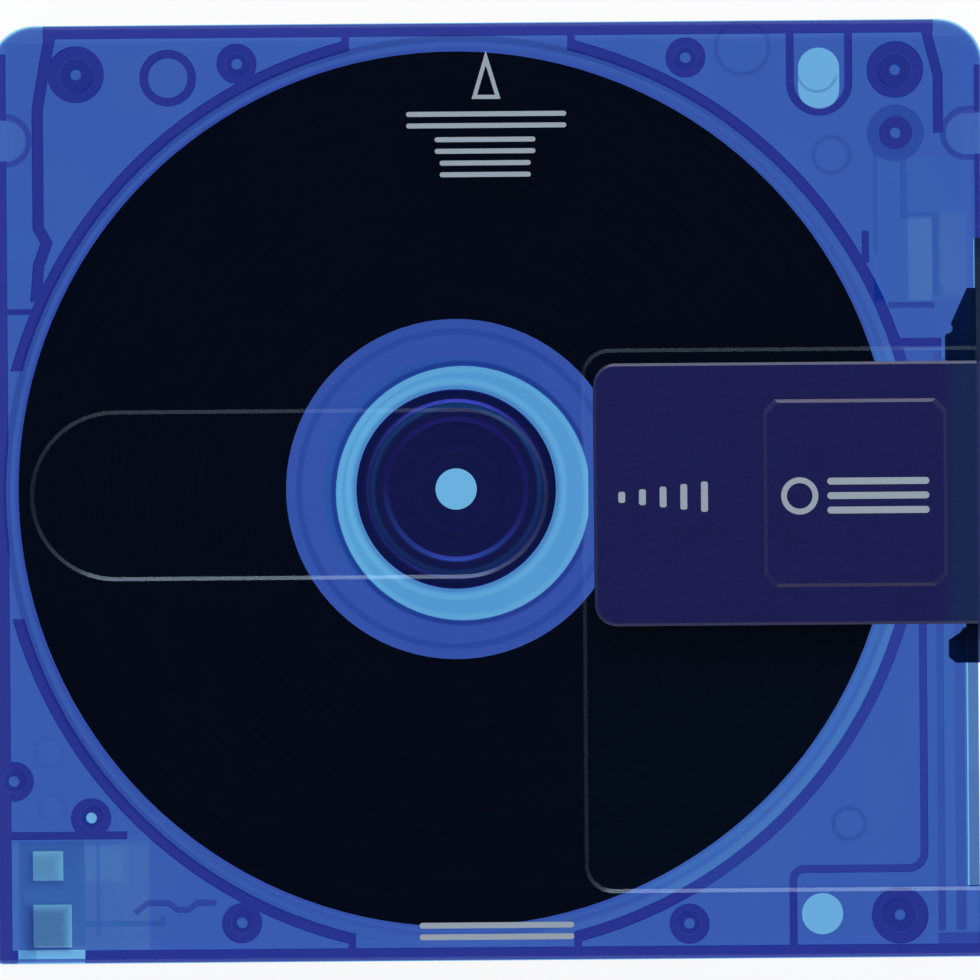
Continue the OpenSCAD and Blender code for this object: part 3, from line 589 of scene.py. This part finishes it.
# %% One printed shape
def stamp(x, y, wide, high, z, corners=4, rounded=0.0, line=0.0):
    """A print wide x high mm round the point x, y; hollow where a line width is given."""
    bpy.ops.object.select_all(action="DESELECT")
    if corners == 4:
        bpy.ops.mesh.primitive_plane_add(size=1)
    else:
        bpy.ops.mesh.primitive_circle_add(vertices=corners, radius=0.5, fill_type="NGON")
    shape = bpy.context.object
    bpy.ops.object.mode_set(mode="EDIT")
    bpy.ops.mesh.select_all(action="SELECT")
    bpy.ops.transform.resize(value=(wide * mm, high * mm, 1), center_override=(0, 0, 0))
    bpy.ops.transform.translate(value=(x * mm, y * mm, z))
    if rounded:
        bpy.ops.mesh.bevel(offset=rounded * mm, segments=4, affect="VERTICES")
    if line:
        bpy.ops.mesh.inset(thickness=line * mm)
        bpy.ops.mesh.delete(type="FACE")
        bpy.ops.mesh.select_all(action="SELECT")
    bpy.ops.mesh.extrude_region_move(TRANSFORM_OT_translate={"value": (0, 0, ink_t)})
    bpy.ops.mesh.select_all(action="SELECT")
    bpy.ops.mesh.normals_make_consistent(inside=False)
    bpy.ops.object.mode_set(mode="OBJECT")
    return shape


def print_together(name, shapes, body):
    """One print from several shapes, on the body that it is printed on."""
    bpy.ops.object.select_all(action="DESELECT")
    for shape in shapes:
        shape.select_set(True)
    bpy.context.view_layer.objects.active = shapes[0]
    bpy.ops.object.join()
    shapes[0].name = name
    shapes[0].data.name = name
    shapes[0].data.materials.append(ink)
    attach(shapes[0], body)
    print(f"{name}: {len(shapes)} shapes, {len(shapes[0].data.polygons)} faces")


# %% [markdown]
# On the label side an arrow shows which way the cartridge goes in, over three rows of stripes, and a
# short double stripe stands at the rear. They are plain shapes, and say nothing.

# %% Marks on the cartridge
arrow_x, arrow_y, arrow_w, arrow_h = 0.0, 28.45, 2.1, 3.5
triangle_w, triangle_h = 0.866, 0.75
stripe_gap = 0.42
stripe_rows = ((0.0, 26.95, 11.6), (-0.1, 25.1, 7.3), (-0.1, 23.4, 6.6))
rear_x, rear_y, rear_w = 0.3, -31.85, 11.2

marks = [
    stamp(
        arrow_x,
        arrow_y + arrow_h / 3,
        arrow_w / triangle_w,
        arrow_h / triangle_h,
        top_z,
        corners=3,
        line=0.3,
    )
]
for x, y, wide in stripe_rows:
    for dy in (-stripe_gap, stripe_gap):
        marks.append(stamp(x, y + dy, wide, 0.36, top_z, rounded=0.17))
for dy in (-stripe_gap, stripe_gap):
    marks.append(stamp(rear_x, rear_y + dy, rear_w, 0.42, top_z, rounded=0.2))
print_together("cartridge_marks", marks, "cartridge")

# %% [markdown]
# The shutter has a row of growing ticks on its flat part, and a ring with three stripes on its raised
# pad, both in the same ink.

# %% Marks on the shutter
pad_top = shutter_high.z
leaf_top = pad_top - 0.12 * mm
marks_y = -0.5
first_tick_x, tick_step = 9.6, 1.5

ticks = [
    stamp(first_tick_x + tick_step * k, marks_y, 0.5, 0.8 + 0.35 * k, leaf_top, rounded=0.15)
    for k in range(5)
]
print_together("shutter_marks", ticks, "shutter")
pad_marks = [stamp(22.5, marks_y, 2.7, 2.7, pad_top, corners=48, line=0.42)]
for dy in (-1.05, 0, 1.05):
    pad_marks.append(stamp(28.2, marks_y + dy, 7.4, 0.5, pad_top, rounded=0.24))
print_together("shutter_pad_marks", pad_marks, "shutter")

# %% [markdown]
# The table is a pale plane. Its white comes from what the camera sees of it, directly, in a mirror or through
# the plastic, and the rest is real diffuse paper that catches the object's shadow. Right under the cartridge
# hardly any light reaches the paper, so there the paper is left out and its shadow is painted: the white is
# set a little lower than in the open.

# %% Table
paper_grey = 0.13
white_in_the_open = 0.90
white_in_painted_shadow = 0.885


def table_top():
    f = Finish("pale table")
    rays = f.node("ShaderNodeLightPath").outputs
    seen = (
        Field(f, rays["Is Camera Ray"])
        .largest(Field(f, rays["Is Glossy Ray"]))
        .largest(Field(f, rays["Is Transmission Ray"]))
    )

    def glow(level):
        return f.node("ShaderNodeEmission", {}, {"Color": (1, 1, 1, 1), "Strength": seen * level}).outputs[0]

    paper = f.node("ShaderNodeBsdfDiffuse", {}, {"Color": (paper_grey, paper_grey, paper_grey, 1)}).outputs[0]
    lit = f.node("ShaderNodeAddShader", {}, {0: paper, 1: glow(white_in_the_open)}).outputs[0]
    x, y, z = f.axes(f.place())
    # painted shadow: under the cartridge a plain white, a little lower than in the open
    painted_shadow_place = patch(x, y, 1.5 - half_w, half_w - 1.5, 1.5 - half_l, half_l - 1.5, 0.5)
    lit = f.layer(painted_shadow_place, lit, glow(white_in_painted_shadow))
    from_below = Field(f, f.node("ShaderNodeNewGeometry").outputs["Backfacing"])
    return f.finish(f.layer(from_below, lit, f.clear((1, 1, 1))))


bpy.ops.object.select_all(action="DESELECT")
bpy.ops.mesh.primitive_plane_add(size=6, location=(0, 0, -0.1 * mm))
table = bpy.context.object
table.name = "table"
table.data.materials.append(table_top())

# %% [markdown]
# A glossy flat face that looks straight up mirrors what is straight above it. So the studio's ceiling
# is dark, and a pale band of light runs round its walls: the black disc stays black, and the slopes
# and bevels catch the band as thin even lines. The band is brighter in front and behind. The camera
# itself sees plain white in every direction, also when it looks up from below the table.

# %% Studio
light_band = (0.32, 0.5, 0.72, 0.84)
ceiling, below, sides, from_front, from_behind = 0.04, 0.95, 0.42, 2.3, 1.2
white_for_camera = 0.93


def studio():
    f = Finish("studio", world=True)
    x, y, z = f.axes(f.node("ShaderNodeTexCoord").outputs["Generated"])
    low = z.ramp(light_band[1], light_band[0])
    lit = z.ramp(light_band[0], light_band[1]) * z.ramp(light_band[3], light_band[2])
    front = y.largest(0.0)
    behind = (0 - y).largest(0.0)
    walls = sides + front * front * from_front + behind * behind * from_behind
    strength = ceiling + low * below + lit * walls
    seen = Field(f, f.node("ShaderNodeLightPath").outputs["Is Camera Ray"])
    shown = seen * white_for_camera + (1 - seen) * strength
    sky = f.node("ShaderNodeBackground", {}, {"Color": (1, 1, 1, 1), "Strength": shown})
    return f.finish(sky.outputs[0])


bpy.context.scene.world = studio()
bpy.context.scene.view_settings.view_transform = "Standard"

# %% [markdown]
# One square soft box stands in front, and gives the slopes that face it their bright line. What the studio
# and the lamp give a level face is worked out and printed. Together they come to a little less than 1, so
# a colour renders slightly darker than it is written.


# %% Lamp, and the level of the light
def level_share(steps=60):
    """How much light the studio gives a level face, against a plain white sky of strength 1."""

    def smooth(value, start, end):
        part = min(1, max(0, (value - start) / (end - start)))
        return part * part * (3 - 2 * part)

    total = 0
    for i in range(steps):
        z = (i + 0.5) / steps
        rise = smooth(z, light_band[0], light_band[1])
        fall = 1 - smooth(z, light_band[2], light_band[3])
        squares = (1 - z * z) / 4
        walls = sides + squares * (from_front + from_behind)
        total += 2 * z / steps * (ceiling + (1 - rise) * below + rise * fall * walls)
    return total


def soft_box(name, azimuth, zenith, radiance, size, distance=1.0):
    """A square lamp that looks at the object, from a compass direction and an angle from straight up."""
    a, e = math.radians(azimuth), math.radians(zenith)
    away = Vector((math.sin(a) * math.sin(e), math.cos(a) * math.sin(e), math.cos(e)))
    bpy.ops.object.select_all(action="DESELECT")
    bpy.ops.object.light_add(
        type="AREA",
        location=away * distance,
        rotation=(-away).to_track_quat("-Z", "Y").to_euler(),
    )
    lamp = bpy.context.object
    lamp.name = name
    lamp.data.shape = "SQUARE"
    lamp.data.size = size
    lamp.data.energy = radiance * math.pi * size * size
    lamp.visible_camera = False
    return radiance * size * size / distance**2 * math.cos(e) / math.pi


lamp_share = soft_box("front_softbox", azimuth=0, zenith=53, radiance=3.4, size=0.55)
print(f"light on a level face: studio {level_share():.2f}, lamp {lamp_share:.2f}")

# %% [markdown]
# Light passes many clear faces here, above all in a low view, and each counts as one transparent step.
# A bounce between the pale pieces adds nothing that shows, so one mirror bounce is enough.

# %% How far light is followed
cycles = bpy.context.scene.cycles
cycles.transparent_max_bounces = 64
cycles.max_bounces = 1
cycles.diffuse_bounces = 0
cycles.glossy_bounces = 1

# %% [markdown]
# The photograph looks straight down with a long lens, so the walls don't spread outwards. The distance is
# worked out from the lens and from how many pixels a millimetre takes.

# %% Camera
pixels_wide = 980
pixels_per_mm = 13.77
object_in_picture = (489.2, 491.5)
picture_turn = 0.0081
lens_mm = 600
sensor_mm = 36
middle_z = half_t * mm

width_seen = pixels_wide / pixels_per_mm * mm
distance = width_seen * lens_mm / sensor_mm
across = (pixels_wide / 2 - object_in_picture[0]) / pixels_per_mm * mm
along = (object_in_picture[1] - pixels_wide / 2) / pixels_per_mm * mm
bpy.ops.object.select_all(action="DESELECT")
bpy.ops.object.camera_add(
    location=(across, along, middle_z + distance), rotation=(0, 0, -picture_turn)
)
camera = bpy.context.object
camera.data.lens = lens_mm
camera.data.sensor_width = sensor_mm
camera.data.clip_start = 0.1
camera.data.clip_end = 10
bpy.context.scene.camera = camera
print(f"camera {distance:.3f} m above the object, {width_seen / mm:.1f} mm across the picture")
